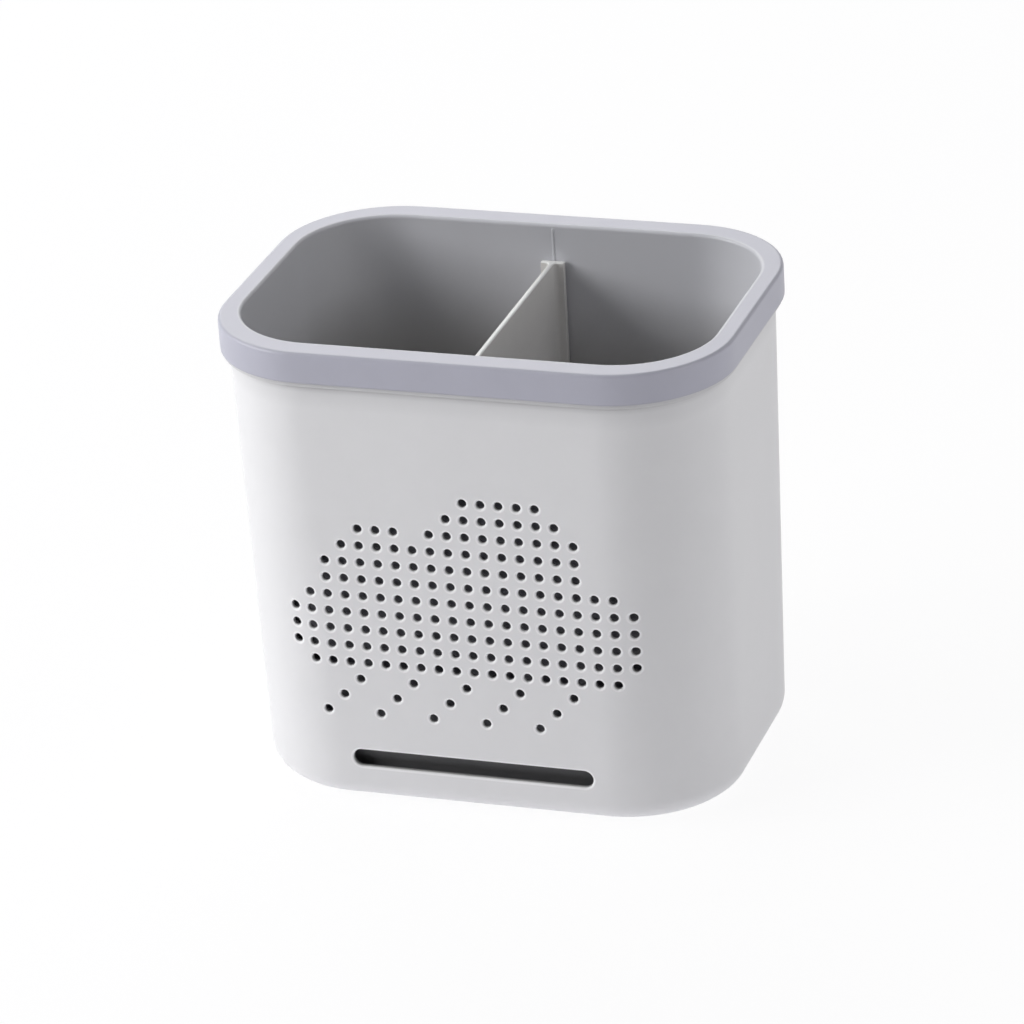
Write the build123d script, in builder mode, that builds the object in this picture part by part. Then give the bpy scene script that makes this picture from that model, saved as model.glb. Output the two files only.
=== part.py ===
"""Chopstick holder for a kitchen worktop, as separate pieces.

A white outer shell stands on four small pads. Its front wall is pierced by a cloud of round
holes with rain under it, and by a vent slot near the base. A grey liner hangs in the shell by
its rim. A divider with a flange at each end slides down two rails in the liner and makes two
compartments, and a loose tray on the shell's floor catches what drips through the liner.

Millimetres. X runs left to right, Y front to back and Z up. The origin is at the centre of the
base, on the surface that the pads stand on, and the cloud faces -Y.
"""

import os

from build123d import *

os.makedirs("parts", exist_ok=True)

# ---------------------------------------------------------------- driving dimensions

# Overall
overall_height = 134.0  # from the surface it stands on to the top of the rim
rim_width = 142.0  # left to right, over the rim
rim_depth = 104.6  # front to back, over the rim
rim_corner_radius = 30.9

# Liner rim: a grey band, hollow underneath, that rests on the shell's lip
rim_height = 8.6
rim_overhang = 2.5  # from the rim's face in to the shell's wall
rim_side_width = 5.5  # flat top at the left and right of the opening
rim_front_width = 7.6  # flat top at the front and back of the opening
rim_top_thickness = 2.0
skirt_thickness = 1.5
rim_outer_round = 0.9
rim_inner_round = 0.8

# Outer shell
shell_wall = 1.5
shell_floor = 2.0
shell_draft = 1.3  # how far each wall leans in from the lip down to the base
shell_base_corner_radius = 31.0
shell_base_round = 6.0  # round between the walls and the base, outside
lip_height = 1.2
lip_reach = 1.9  # how far the lip stands out of the wall

# Foot pads, glued into shallow recesses under the base
pad_diameter = 12.0
pad_thickness = 1.6
pad_proud = 1.0  # how far a pad stands below the base
pad_slip = 0.1  # gap around a pad in its recess
pad_edge = 0.3  # chamfer on the edge it stands on
pad_inset = 9.0  # from a pad's edge to the edge of the base

# Cloud and rain: round holes on a square pitch, in columns numbered from the left
hole_diameter = 2.4
hole_pitch = 5.0
cloud_columns = 20
cloud_top_height = 93.0  # height of the top row of holes
cloud_rows = (
    ((10, 14),),
    ((9, 15),),
    ((4, 6), (8, 16)),
    ((3, 16),),
    ((2, 16),),
    ((2, 18),),
    ((1, 19),),
    ((0, 19),),
    ((0, 19),),
    ((0, 19),),
    ((1, 18),),
)  # first and last column of each run of holes, from the top row down
rain_streaks = 5
rain_drops = 3  # holes in one streak, each one column left of and one row below the last
rain_first_column = 3.5
rain_streak_spacing = 3  # columns from one streak to the next

# Vent slot
slot_length = 68.0
slot_height = 5.0
slot_centre_height = 13.9

# Liner cup
liner_wall = 1.2
liner_floor = 1.6
liner_floor_height = 22.0  # height of the floor's upper face
liner_draft = 3.5  # how far each wall leans in from the opening down to the floor
opening_corner_radius = 25.2
liner_floor_corner_radius = 22.0
liner_floor_round = 6.0  # round between the walls and the floor, inside

# Drain holes in the liner's floor, one grid in each compartment
drain_diameter = 3.5
drain_pitch = 9.0
drain_columns = 5
drain_rows = 7

# Rails on the liner's walls that the divider slides down
rail_width = 0.8
rail_depth = 0.45  # how far a rail stands out of the wall
rail_drop = 1.2  # from the rim's top down to a rail's top

# Divider: a plate with a grooved flange at each end
divider_thickness = 1.4
divider_drop = 10.2  # from the rim's top down to the divider's top
divider_end_gap = 0.3  # gap between a flange and the liner's wall
divider_slip = 0.15  # gap between a rail and its groove
divider_top_round = 0.8
flange_width = 6.6
flange_thickness = 1.8
flange_fillet = 1.2  # between a flange and the plate

# Drip tray
tray_gap = 3.0  # between the tray and the shell's inner wall
tray_height = 14.5
tray_wall = 1.4
tray_floor = 1.4
tray_base_round = 4.5  # round between its walls and its base, outside

# ---------------------------------------------------------------- levels and outlines

base_level = pad_proud
shell_floor_level = base_level + shell_floor
lip_level = overall_height - rim_height
tray_top_level = shell_floor_level + tray_height
rim_underside = overall_height - rim_top_thickness
liner_underside = liner_floor_height - liner_floor
divider_top_level = overall_height - divider_drop
rail_top_level = overall_height - rail_drop
rail_foot_level = liner_floor_height + liner_floor_round
groove_width = rail_width + 2 * divider_slip
groove_depth = rail_depth + divider_slip - divider_end_gap


def outline(level, low, high, inset=0.0):
    """Return (width, depth, corner radius) of a tapered wall at a level, moved in by inset.

    low and high are (level, width, depth, corner radius) where the wall starts and ends.
    """
    share = (level - low[0]) / (high[0] - low[0])
    width, depth, radius = (a + (b - a) * share for a, b in zip(low[1:], high[1:]))
    return width - 2 * inset, depth - 2 * inset, radius - inset


def tapered_block(low_level, high_level, low, high, inset, base_round):
    """Return a solid between two levels of a tapered wall, with a round edge at its base."""
    with BuildPart() as block:
        for level in (low_level, high_level):
            with BuildSketch(Plane.XY.offset(level)):
                RectangleRounded(*outline(level, low, high, inset))
        loft()
        fillet(block.edges().group_by(Axis.Z)[0], base_round)
    return block.part


shell_top = (
    lip_level,
    rim_width - 2 * rim_overhang,
    rim_depth - 2 * rim_overhang,
    rim_corner_radius - rim_overhang,
)
shell_base = (
    base_level,
    shell_top[1] - 2 * shell_draft,
    shell_top[2] - 2 * shell_draft,
    shell_base_corner_radius,
)
opening = (
    overall_height,
    rim_width - 2 * rim_side_width,
    rim_depth - 2 * rim_front_width,
    opening_corner_radius,
)
cup_floor = (
    liner_floor_height,
    opening[1] - 2 * liner_draft,
    opening[2] - 2 * liner_draft,
    liner_floor_corner_radius,
)



def cup_wall_y(level):
    """Return how far the liner's front and back walls are from the middle, inside."""
    return outline(level, cup_floor, opening)[1] / 2


# ---------------------------------------------------------------- outer shell

shell_body = tapered_block(base_level, lip_level, shell_base, shell_top, 0, shell_base_round)
shell_room = tapered_block(
    shell_floor_level, lip_level, shell_base, shell_top, shell_wall, shell_base_round - shell_wall
)

with BuildPart() as outer_shell:
    add(shell_body)

    # Lip that the liner's rim rests on
    with BuildSketch(Plane.XY.offset(lip_level - lip_height)):
        RectangleRounded(*outline(lip_level, shell_base, shell_top, -lip_reach))
    extrude(amount=lip_height)

    add(shell_room, mode=Mode.SUBTRACT)

    # Cloud, rain and vent slot, cut from the middle out through the front wall
    with BuildSketch(Plane.XZ):
        left_column = -hole_pitch * (cloud_columns - 1) / 2
        for row, runs in enumerate(cloud_rows):
            for first, last in runs:
                for column in range(first, last + 1):
                    hole_x = left_column + hole_pitch * column
                    with Locations((hole_x, cloud_top_height - hole_pitch * row)):
                        Circle(hole_diameter / 2)
        for streak in range(rain_streaks):
            for drop in range(rain_drops):
                column = rain_first_column + rain_streak_spacing * streak - drop
                row = len(cloud_rows) + drop
                hole_x = left_column + hole_pitch * column
                with Locations((hole_x, cloud_top_height - hole_pitch * row)):
                    Circle(hole_diameter / 2)
        with Locations((0, slot_centre_height)):
            SlotOverall(slot_length, slot_height)
    extrude(amount=rim_depth, mode=Mode.SUBTRACT)

    # Recesses for the pads
    pad_x = shell_base[1] / 2 - pad_inset - shell_base_round - pad_diameter / 2
    pad_y = shell_base[2] / 2 - pad_inset - shell_base_round - pad_diameter / 2
    with BuildSketch(Plane.XY.offset(base_level)):
        with GridLocations(2 * pad_x, 2 * pad_y, 2, 2):
            Circle(pad_diameter / 2 + pad_slip)
    extrude(amount=pad_thickness - pad_proud, mode=Mode.SUBTRACT)

outer_shell.part.label = "outer_shell"
export_step(outer_shell.part, "parts/outer_shell.step")

# ---------------------------------------------------------------- foot pads

for side, side_name in ((-1, "left"), (1, "right")):
    for end, end_name in ((-1, "front"), (1, "rear")):
        with BuildPart() as foot_pad:
            with BuildSketch():
                with Locations((side * pad_x, end * pad_y)):
                    Circle(pad_diameter / 2)
            extrude(amount=pad_thickness)
            chamfer(foot_pad.edges().group_by(Axis.Z)[0], pad_edge)
        pad_name = f"foot_pad_{end_name}_{side_name}"
        foot_pad.part.label = pad_name
        export_step(foot_pad.part, f"parts/{pad_name}.step")

# ---------------------------------------------------------------- inner liner

cup_body = tapered_block(
    liner_underside, rim_underside, cup_floor, opening, -liner_wall, liner_floor_round + liner_wall
)
cup_room = tapered_block(
    liner_floor_height, overall_height, cup_floor, opening, 0, liner_floor_round
)

with BuildPart() as inner_liner:
    # Rim, as a block that the inside is cut out of
    with BuildSketch(Plane.XY.offset(lip_level)):
        RectangleRounded(rim_width, rim_depth, rim_corner_radius)
    extrude(amount=rim_height)
    fillet(inner_liner.edges().group_by(Axis.Z)[-1], rim_outer_round)
    with BuildSketch(Plane.XY.offset(lip_level)):
        RectangleRounded(
            rim_width - 2 * skirt_thickness,
            rim_depth - 2 * skirt_thickness,
            rim_corner_radius - skirt_thickness,
        )
    extrude(amount=rim_height - rim_top_thickness, mode=Mode.SUBTRACT)

    # Cup
    add(cup_body)
    add(cup_room, mode=Mode.SUBTRACT)
    rim_face = inner_liner.faces().sort_by(Axis.Z)[-1]
    fillet(rim_face.inner_wires()[0].edges(), rim_inner_round)

    # Rails at the front and back, from the floor's round up, sunk to the middle of the wall
    with BuildSketch(Plane.YZ):
        low_y = cup_wall_y(rail_foot_level)
        high_y = cup_wall_y(rail_top_level)
        for end in (-1, 1):
            with BuildLine():
                Polyline(
                    (end * (low_y - rail_depth), rail_foot_level),
                    (end * (low_y + liner_wall / 2), rail_foot_level),
                    (end * (high_y + liner_wall / 2), rail_top_level),
                    (end * (high_y - rail_depth), rail_top_level),
                    close=True,
                )
            make_face()
    extrude(amount=rail_width / 2, both=True)

    # Drain holes
    grid_centre = opening[1] / 4 - liner_draft / 2
    with BuildSketch(Plane.XY.offset(liner_underside)):
        with Locations((-grid_centre, 0), (grid_centre, 0)):
            with GridLocations(drain_pitch, drain_pitch, drain_columns, drain_rows):
                Circle(drain_diameter / 2)
    extrude(amount=liner_floor, mode=Mode.SUBTRACT)

inner_liner.part.label = "inner_liner"
export_step(inner_liner.part, "parts/inner_liner.step")

# ---------------------------------------------------------------- divider

with BuildPart() as divider:
    # Plate and flanges, which lean with the liner's walls
    for level in (liner_floor_height, divider_top_level):
        end_y = cup_wall_y(level) - divider_end_gap
        with BuildSketch(Plane.XY.offset(level)) as section:
            Rectangle(divider_thickness, 2 * end_y - flange_thickness)
            with Locations((0, end_y - flange_thickness / 2), (0, flange_thickness / 2 - end_y)):
                Rectangle(flange_width, flange_thickness)
            inner_corners = section.vertices().sort_by(lambda corner: abs(corner.X))[:4]
            fillet(inner_corners, flange_fillet)
            with Locations((0, end_y), (0, -end_y)):
                Rectangle(groove_width, 2 * groove_depth, mode=Mode.SUBTRACT)
    loft()

    # Outline, with lower corners that clear the round between the liner's walls and floor
    with BuildSketch(Plane.YZ) as divider_outline:
        low_y = cup_wall_y(liner_floor_height) - divider_end_gap
        high_y = cup_wall_y(divider_top_level) - divider_end_gap
        with BuildLine():
            Polyline(
                (-low_y, liner_floor_height),
                (low_y, liner_floor_height),
                (high_y, divider_top_level),
                (-high_y, divider_top_level),
                close=True,
            )
        make_face()
        fillet(divider_outline.vertices().group_by(Axis.Y)[0], liner_floor_round)
        fillet(divider_outline.vertices().group_by(Axis.Y)[-1], divider_top_round)
    extrude(amount=flange_width / 2, both=True, mode=Mode.INTERSECT)

divider.part.label = "divider"
export_step(divider.part, "parts/divider.step")

# ---------------------------------------------------------------- drip tray

tray_inset = shell_wall + tray_gap
tray_body = tapered_block(
    shell_floor_level, tray_top_level, shell_base, shell_top, tray_inset, tray_base_round
)
tray_room = tapered_block(
    shell_floor_level + tray_floor,
    tray_top_level,
    shell_base,
    shell_top,
    tray_inset + tray_wall,
    tray_base_round - tray_wall,
)

with BuildPart() as drip_tray:
    add(tray_body)
    add(tray_room, mode=Mode.SUBTRACT)

drip_tray.part.label = "drip_tray"
export_step(drip_tray.part, "parts/drip_tray.step")
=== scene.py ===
"""Chopstick holder: a pierced white shell, a grey liner, a flanged divider, a drip tray and four pads.

Lengths are in metres. X runs left to right, Y front to back and Z up; the cloud faces -Y, and the
origin is the middle of the base on the surface that the pads stand on. Each piece is drawn from
profiles and outlines worked out as whole arrays, where a row of points is one ring round the piece.
"""

import math

import bmesh
import bpy
import numpy as np
from mathutils import Euler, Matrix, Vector


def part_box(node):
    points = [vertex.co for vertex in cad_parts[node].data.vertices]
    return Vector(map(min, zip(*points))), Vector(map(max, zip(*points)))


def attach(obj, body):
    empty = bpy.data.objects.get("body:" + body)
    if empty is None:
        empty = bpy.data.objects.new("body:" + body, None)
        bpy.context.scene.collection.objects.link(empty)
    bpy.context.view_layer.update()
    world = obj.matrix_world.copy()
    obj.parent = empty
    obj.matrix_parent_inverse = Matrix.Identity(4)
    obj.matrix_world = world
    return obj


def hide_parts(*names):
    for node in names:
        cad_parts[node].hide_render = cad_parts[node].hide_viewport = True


bl_info = {
    "name": "Chopstick holder",
    "version": (1, 0, 0),
    "blender": (4, 5, 0),
    "location": "View3D > Sidebar > Holder",
    "description": "Builds a chopstick holder and a small studio round it",
    "category": "Add Mesh",
}

MM = 0.001

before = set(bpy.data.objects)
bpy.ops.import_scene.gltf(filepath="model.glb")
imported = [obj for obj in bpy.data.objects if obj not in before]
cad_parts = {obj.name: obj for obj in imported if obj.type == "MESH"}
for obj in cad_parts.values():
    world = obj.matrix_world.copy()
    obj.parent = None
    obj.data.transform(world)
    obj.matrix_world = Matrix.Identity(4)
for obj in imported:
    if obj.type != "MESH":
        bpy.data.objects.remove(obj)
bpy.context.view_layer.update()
rim_low, rim_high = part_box("inner_liner")
lip_low, lip_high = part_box("outer_shell")
divider_low, divider_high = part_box("divider")
tray_low, tray_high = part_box("drip_tray")
pad_low, pad_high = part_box("foot_pad_rear_right")


def length(name, default, description):
    """A length that a user can change, in metres."""
    return bpy.props.FloatProperty(
        name=name, description=description, default=default, min=0.0, precision=5, unit="LENGTH"
    )


def colour(name, default, description):
    """A linear colour that a user can change."""
    return bpy.props.FloatVectorProperty(
        name=name, description=description, default=default, size=3, min=0.0, max=1.0, subtype="COLOR"
    )


# ------------------------------------------------------------------------------------- settings


class ShellSettings(bpy.types.PropertyGroup):
    """Sizes and colour of the pierced outer shell."""

    wall: length("Wall", 1.5 * MM, "Thickness of the shell's walls")
    floor: length("Floor", 2.0 * MM, "Thickness of the shell's floor")
    draft: length("Draft", 1.3 * MM, "How far a wall leans in from the lip down to the base")
    base_corner_radius: length("Base corner", 31.0 * MM, "Corner radius of the outline at the base")
    base_round: length("Base round", 6.0 * MM, "Round between the walls and the base, outside")
    top_corner_radius: length("Top corner", 28.4 * MM, "Corner radius of the outline at the lip")
    lip_height: length("Lip height", 1.2 * MM, "Height of the lip that the liner hangs on")
    lip_reach: length("Lip reach", 1.9 * MM, "How far the lip stands out of the wall")
    edge_round: length("Edge round", 0.25 * MM, "Round on the lip's edges")
    hole_diameter: length("Hole diameter", 2.4 * MM, "Diameter of the cloud's and the rain's holes")
    hole_pitch: length("Hole pitch", 5.0 * MM, "Distance from one hole to the next")
    hole_round: length("Hole round", 0.45 * MM, "Round on the holes' outer edges")
    cloud_top: length("Cloud top", 93.0 * MM, "Height of the cloud's top row of holes")
    slot_length: length("Slot length", 68.0 * MM, "Length of the vent slot")
    slot_height: length("Slot height", 5.0 * MM, "Height of the vent slot")
    slot_centre: length("Slot centre", 13.9 * MM, "Height of the vent slot's middle")
    slot_round: length("Slot round", 0.45 * MM, "Round on the slot's outer edge")
    colour: colour("Colour", (0.80, 0.80, 0.81), "White of the shell")
    # Painted highlight on the rounded edges of the holes and the slot
    highlight_colour: colour("Edge colour", (0.96, 0.96, 0.97), "White of the edges round the holes")
    # Painted shade inside the holes and the slot, and under and on the lip
    painted_shade_colour: colour("Hole colour", (0.12, 0.12, 0.12), "Grey deep in the holes and the slot")


class LinerSettings(bpy.types.PropertyGroup):
    """Sizes and colour of the grey liner."""

    wall: length("Wall", 1.2 * MM, "Thickness of the cup's walls")
    floor: length("Floor", 1.6 * MM, "Thickness of the cup's floor")
    draft: length("Draft", 3.5 * MM, "How far a wall leans in from the opening down to the floor")
    rim_corner_radius: length("Rim corner", 30.9 * MM, "Corner radius of the rim's outline")
    rim_height: length("Rim height", 8.6 * MM, "Height of the rim's band")
    rim_side_width: length("Rim side", 5.5 * MM, "Width of the rim's top at the left and right")
    rim_front_width: length("Rim front", 7.6 * MM, "Width of the rim's top at the front and back")
    rim_top_thickness: length("Rim top", 2.0 * MM, "Thickness of the rim's top")
    skirt: length("Skirt", 1.5 * MM, "Thickness of the rim's band")
    rim_outer_round: length("Outer round", 0.9 * MM, "Round on the rim's outer edge")
    rim_inner_round: length("Inner round", 0.8 * MM, "Round on the opening's edge")
    opening_corner_radius: length("Opening corner", 25.2 * MM, "Corner radius of the opening")
    floor_corner_radius: length("Floor corner", 22.0 * MM, "Corner radius at the floor")
    floor_round: length("Floor round", 6.0 * MM, "Round between the walls and the floor, inside")
    drain_diameter: length("Drain diameter", 3.5 * MM, "Diameter of the floor's drain holes")
    drain_pitch: length("Drain pitch", 9.0 * MM, "Distance from one drain hole to the next")
    drain_round: length("Drain round", 0.4 * MM, "Round on the drain holes' upper edges")
    rail_width: length("Rail width", 0.8 * MM, "Width of the rails that the divider slides down")
    rail_depth: length("Rail depth", 0.16 * MM, "How far a rail stands out of the wall")
    rail_drop: length("Rail drop", 1.2 * MM, "From the rim's top down to a rail's top")
    edge_round: length("Edge round", 0.2 * MM, "Round on the rails and on the band's lower edge")
    colour: colour("Colour", (0.455, 0.457, 0.535), "Grey of the liner's rim")
    # Painted highlight on the rim's inner edge
    highlight_colour: colour("Edge colour", (0.62, 0.625, 0.67), "Grey of the rim's inner edge")
    # The cup's inside: a more neutral grey than the rim, with painted light at its mouth and painted shade
    # in its depths
    lit_mouth_colour: colour("Mouth colour", (0.63, 0.635, 0.672), "Grey of the cup's inside at the top")
    shaded_depth_colour: colour("Depth colour", (0.355, 0.347, 0.335), "Grey of the cup's inside in its depths")
    # Painted shade on the cup's outside and underside, and on the band's lower edge
    outside_shade_colour: colour("Deep colour", (0.345, 0.345, 0.395), "Grey of the cup's outside")


class DividerSettings(bpy.types.PropertyGroup):
    """Sizes and colour of the divider, a plate with a grooved flange at each end."""

    thickness: length("Thickness", 1.4 * MM, "Thickness of the plate")
    end_gap: length("End gap", 0.3 * MM, "Gap between a flange and the liner's wall")
    slip: length("Slip", 0.15 * MM, "Gap beside a rail in its groove")
    groove_depth: length("Groove depth", 0.3 * MM, "Depth of the groove in a flange's end")
    flange_thickness: length("Flange", 1.8 * MM, "Thickness of the flanges")
    flange_fillet: length("Flange fillet", 1.2 * MM, "Hollow between a flange and the plate")
    corner_round: length("Corner round", 0.2 * MM, "Round on the upright edges")
    top_round: length("Top round", 0.8 * MM, "Round on the flanges' top, at the liner's wall")
    edge_round: length("Edge round", 0.4 * MM, "Round on the other top edges")
    colour: colour("Colour", (0.73, 0.716, 0.698), "Pale grey of the divider")
    # Painted highlight on the top edges
    highlight_colour: colour("Edge colour", (0.94, 0.94, 0.93), "Grey of its top edges")


class TraySettings(bpy.types.PropertyGroup):
    """Sizes and colour of the loose drip tray."""

    gap: length("Gap", 3.0 * MM, "Gap between the tray and the shell's inner wall")
    wall: length("Wall", 1.4 * MM, "Thickness of the tray's walls and floor")
    base_round: length("Base round", 4.5 * MM, "Round between its walls and its base, outside")
    edge_round: length("Edge round", 0.63 * MM, "Round on the wall's top edges")
    colour: colour("Colour", (0.14, 0.14, 0.145), "Charcoal of the tray")


class PadSettings(bpy.types.PropertyGroup):
    """Sizes and colour of the four foot pads."""

    slip: length("Slip", 0.1 * MM, "Gap round a pad in its recess")
    edge: length("Edge", 0.3 * MM, "Round on the edge that a pad stands on")
    colour: colour("Colour", (0.35, 0.35, 0.37), "Grey of the rubber")


class StageSettings(bpy.types.PropertyGroup):
    """Camera, lamps and floor of the studio."""

    azimuth: bpy.props.FloatProperty(
        name="Azimuth", description="Turn of the camera to the right of the front",
        default=math.radians(19.6613), subtype="ANGLE",
    )
    elevation: bpy.props.FloatProperty(
        name="Elevation", description="Height of the camera above the level, as an angle",
        default=math.radians(24.8904), subtype="ANGLE",
    )
    roll: bpy.props.FloatProperty(
        name="Roll", description="Turn of the camera about its line of sight",
        default=math.radians(-3.8004), subtype="ANGLE",
    )
    lens: bpy.props.FloatProperty(
        name="Lens", description="Focal length on a 36 mm sensor", default=188.19, unit="CAMERA"
    )
    distance: length("Distance", 1.45686, "Distance from the camera to what it looks at")
    floor_colour: colour("Floor", (0.80, 0.80, 0.80), "Colour of the floor")
    floor_glow: bpy.props.FloatProperty(
        name="Floor glow", description="Light that the floor sends up by itself", default=0.37, min=0.0
    )
    glow_colour: colour("Glow colour", (0.95, 0.935, 1.0), "Tint of the light from the floor")
    floor_white: bpy.props.FloatProperty(
        name="Floor white", description="How far the floor is seen as plain white, without shadow",
        default=0.88, min=0.0, max=1.0, subtype="FACTOR",
    )


SETTINGS = {
    "holder_shell": ShellSettings,
    "holder_liner": LinerSettings,
    "holder_divider": DividerSettings,
    "holder_tray": TraySettings,
    "holder_pads": PadSettings,
    "holder_stage": StageSettings,
}

# First and last column of each run of holes, from the cloud's top row down
CLOUD_COLUMNS = 20
CLOUD_ROWS = (
    ((10, 14),),
    ((9, 15),),
    ((4, 6), (8, 16)),
    ((3, 16),),
    ((2, 16),),
    ((2, 18),),
    ((1, 19),),
    ((0, 19),),
    ((0, 19),),
    ((0, 19),),
    ((1, 18),),
)
RAIN_STREAKS = 5
RAIN_DROPS = 3  # holes in one streak, each one column left of and one row below the last
RAIN_FIRST_COLUMN = 3.5
RAIN_STREAK_SPACING = 3
DRAIN_COLUMNS = 5
DRAIN_ROWS = 7

CELL = 4  # grid cells across the square patch round one hole
LATTICE_COLUMNS = 40  # grid columns right of the middle that follow the holes
SLOT_COLUMNS = 30  # grid columns right of the middle in the patch round the slot
SLOT_STRAIGHT = 25  # of them, the ones along the slot's straight edges
PAD_CELL = 1.75 * MM  # width of a grid cell in the patch round a pad's recess
INNER_MARGIN = 12 * MM  # from the top of the holes' grid to the next ring of the inner wall

# Steps of one quarter of a ring: along the front, to the corner's diagonal, past it, along the side
SHELL_STEPS = (LATTICE_COLUMNS, 5, 9, 6)
LINER_STEPS = (16, 8, 8, 6)  # where the last two add up to half of DRAIN_ROWS * CELL
RAIL_STEPS = (2, 2, 2, 2)
DEPTH_RINGS = 12  # rings of a rail, and of the cup's inside, down to the floor's round
PAD_STEPS = 48  # steps round a pad

BESIDE = 0.3 * MM  # from a round to the ring beside it, which holds the face's shading
FADE = 0.4 * MM  # width of the ring round a hole over which its painted highlight fades
HAIR = 0.01 * MM  # least width of a face, which keeps its two sides apart
WELD = 0.0005 * MM  # points closer than this are joined
CREASE_ANGLE = math.radians(50)

# Tones: painted shade, painted highlights on edges, and the cup's inside with painted light at its
# mouth and painted shade in its depths. The change from mouth to depths starts so far below the
# rim's top, and takes that long.
PAINTED_SHADE_TONE, PAINTED_HIGHLIGHT_TONE, LIT_MOUTH_TONE, SHADED_DEPTH_TONE = -1.0, 1.0, 2.0, 3.0
SHADE_START = 12 * MM
SHADE_RANGE = 48 * MM

# Tones of an opening's edge: on the face, at the start, middle and end of its round, where a
# highlight is painted that darkens at its end, and inside, where shade is painted
OPENING_TONES = (0.0, PAINTED_HIGHLIGHT_TONE, PAINTED_HIGHLIGHT_TONE, -0.3, PAINTED_SHADE_TONE)

# Painted shade on the shell's wall at some distances below the lip, and on the lip
LIP_SHADE_TONES = ((0.0, -0.5), (0.6 * MM, -0.5), (1.3 * MM, -0.22), (2.4 * MM, -0.1), (7.0 * MM, 0.0))
LIP_SHADE_TONE = -0.3

# Tone at some steps of the round from the rim's top into the cup, with a painted highlight on the
# opening's edge, and of the band's lower edge, a painted shade line
MOUTH_TONES = ((0, 0.5), (1, PAINTED_HIGHLIGHT_TONE), (3, PAINTED_HIGHLIGHT_TONE), (5, LIT_MOUTH_TONE))
BAND_LINE_SHADE_TONE = -0.45

# Moulded plastic: width and height of its slow waves, width of its patches, how far their roughness
# spreads, and the range in which a noise lies
WAVE_WIDTH = 22 * MM
WAVE_HEIGHT = 0.05 * MM
PATCH_WIDTH = 9 * MM
ROUGHNESS_SPREAD = 0.08
NOISE_LOW, NOISE_HIGH = 0.3, 0.7

# ------------------------------------------------------------------------------------- outlines


def leaning(foot, top):
    """A leaning wall: (level, half width, half depth, corner radius) at its foot and at its top."""
    return np.array([foot, top], float)


def outline(level, wall, inset=0.0):
    """Half width, half depth and corner radius of a leaning wall at some levels: each goes in a
    straight line from its value at the foot to its value at the top, less the inset."""
    foot, top = wall
    share = (np.asarray(level, float) - foot[0]) / (top[0] - foot[0])
    return [foot[i] + (top[i] - foot[i]) * share - inset for i in (1, 2, 3)]


def face_depth(x, level, wall, inset):
    """Y of a leaning wall's front face: minus the half depth, and past the corner's centre less far,
    by the root of the radius squared minus the distance past the centre squared."""
    half_width, half_depth, radius = outline(level, wall, inset)
    past = np.clip(np.abs(x) - (half_width - radius), 0.0, None)
    return -(half_depth - radius) - np.sqrt(radius**2 - past**2)


def rings(level, sizes, steps, columns=None):
    """Closed rings of points, one a level, round a rectangle with round corners, anticlockwise
    from the front's middle.

    A quarter runs along the front, round a corner and on to the side's middle, and the others are
    its reflections. Along the front x goes in equal steps to the corner's centre, or through the
    given columns, with y by the circle past the centre. The rest of the corner's angle goes in
    equal steps to the diagonal and from there to the side, and then y in equal steps to 0.
    """
    level = np.atleast_1d(np.asarray(level, float))[:, None]
    half_width, half_depth, radius = (0 * level + np.reshape(size, (-1, 1)) for size in sizes)
    front, before, after, side = steps
    centre_x, centre_y = half_width - radius, half_depth - radius
    if columns is None:
        columns = centre_x * np.arange(front + 1) / front
    x = columns + 0 * level
    past = np.clip(x - centre_x, 0.0, None)
    y = -centre_y - np.sqrt(radius**2 - past**2)
    start, diagonal = np.arcsin(past[:, -1:] / radius), math.pi / 4
    angle = np.hstack([
        start + (diagonal - start) * np.arange(1, before + 1) / before,
        diagonal + (math.pi / 2 - diagonal) * np.arange(1, after + 1) / after + 0 * level,
    ])
    side_y = -centre_y * (1 - np.arange(1, side + 1) / side)
    x = np.hstack([x, centre_x + radius * np.sin(angle), half_width + 0 * side_y])
    y = np.hstack([y, -centre_y - radius * np.cos(angle), side_y])
    x = np.hstack([x[:, :-1], x[:, :0:-1], -x[:, :-1], -x[:, :0:-1]])
    y = np.hstack([y[:, :-1], -y[:, :0:-1], -y[:, :-1], y[:, :0:-1]])
    return np.stack([x, y, level + 0 * x], axis=-1)


def foot_round(wall, level, radius, steps):
    """Levels and insets of the round between a leaning wall and a flat below it, from the flat up.

    The arc's centre is one radius above the flat and one radius from the wall. With s the wall's
    lean, the inset from the wall at each level is the radius times (root of (1 + s squared) minus
    s minus the sine of the angle), plus s times the height above the flat.
    """
    lean = (wall[1][1] - wall[0][1]) / (wall[1][0] - wall[0][0])
    angle = np.linspace(0.0, math.pi / 2 - math.atan(lean), steps + 1)
    height = radius * (1 - np.cos(angle))
    inset = radius * (math.hypot(1, lean) - lean - np.sin(angle)) + lean * height
    return level + height, inset


def quarter_turn(steps):
    """Sine and one-minus-cosine of equal steps through a right angle, for small rounds."""
    angle = np.linspace(0.0, math.pi / 2, steps + 1)
    return np.sin(angle), 1 - np.cos(angle)


# ------------------------------------------------------------------------------------- meshes


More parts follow.
